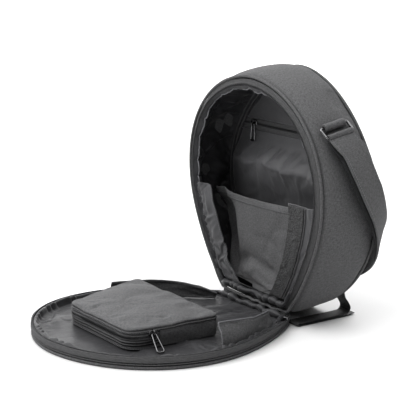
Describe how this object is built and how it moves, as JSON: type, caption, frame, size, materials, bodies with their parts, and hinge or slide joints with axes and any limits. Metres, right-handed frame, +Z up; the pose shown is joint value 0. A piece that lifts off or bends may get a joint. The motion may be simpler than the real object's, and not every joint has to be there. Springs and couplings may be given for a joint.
{
  "type": "motorcycle saddlebag",
  "caption": "Soft zip-around saddlebag lying open: an egg-shaped padded shell on its cloth hinge, a lid with a zip pouch, inner pockets and a side handle.",
  "frame": {"origin": "middle of the lid's underside, where the open bag rests on the floor", "axes": "+Z up; +Y from the lid towards the back of the standing shell; +X along the hinge towards the handle side"},
  "size_m": [0.4028, 0.4948, 0.3902],
  "materials": {
    "outer_fabric": "matt woven polyester",
    "lining_fabric": "satin nylon",
    "zip_tape": "matt knitted tape",
    "webbing": "matt woven webbing",
    "dark_metal": "semi-gloss black nickel"
  },
  "bodies": {
    "bag": {"shell_wall": "outer_fabric", "mouth_piping": "outer_fabric", "back_piping": "outer_fabric", "back_panel": "outer_fabric", "divider_panel": "outer_fabric", "divider_strip_left": "outer_fabric", "divider_strip_right": "outer_fabric", "lid_panel": "outer_fabric", "lid_piping": "outer_fabric", "pouch_gusset": "outer_fabric", "pouch_piping": "outer_fabric", "pouch_top": "outer_fabric", "lid_flap_near": "outer_fabric", "lid_flap_far": "outer_fabric", "hinge_strip": "outer_fabric", "ring_tab": "outer_fabric", "handle_fold": "outer_fabric", "handle_strap": "outer_fabric", "shell_lining": "lining_fabric", "back_lining_top": "lining_fabric", "pocket_panel": "lining_fabric", "lid_lining": "lining_fabric", "shell_zip_tape": "zip_tape", "pocket_zip": "zip_tape", "lid_zip_tape": "zip_tape", "pouch_zip": "zip_tape", "mount_webbing": "webbing", "handle_ring": "dark_metal", "pocket_slider": "dark_metal", "pouch_slider": "dark_metal", "main_slider": "dark_metal"},
    "pocket_pull_body": {"pocket_pull": "dark_metal"},
    "pouch_pull_body": {"pouch_pull": "dark_metal"}
  },
  "joints": [
    {"name": "pocket_pull_swing", "type": "hinge", "parent": "bag", "child": "pocket_pull_body", "pos_m": [-0.108, 0.2623, 0.2845], "axis": [-1, 0, 0], "range_deg": [0, 150]},
    {"name": "pouch_pull_swing", "type": "hinge", "parent": "bag", "child": "pouch_pull_body", "pos_m": [0.09958, -0.06461, 0.033], "axis": [-0.0265, -0.9996, 0], "range_deg": [0, 110]}
  ]
}
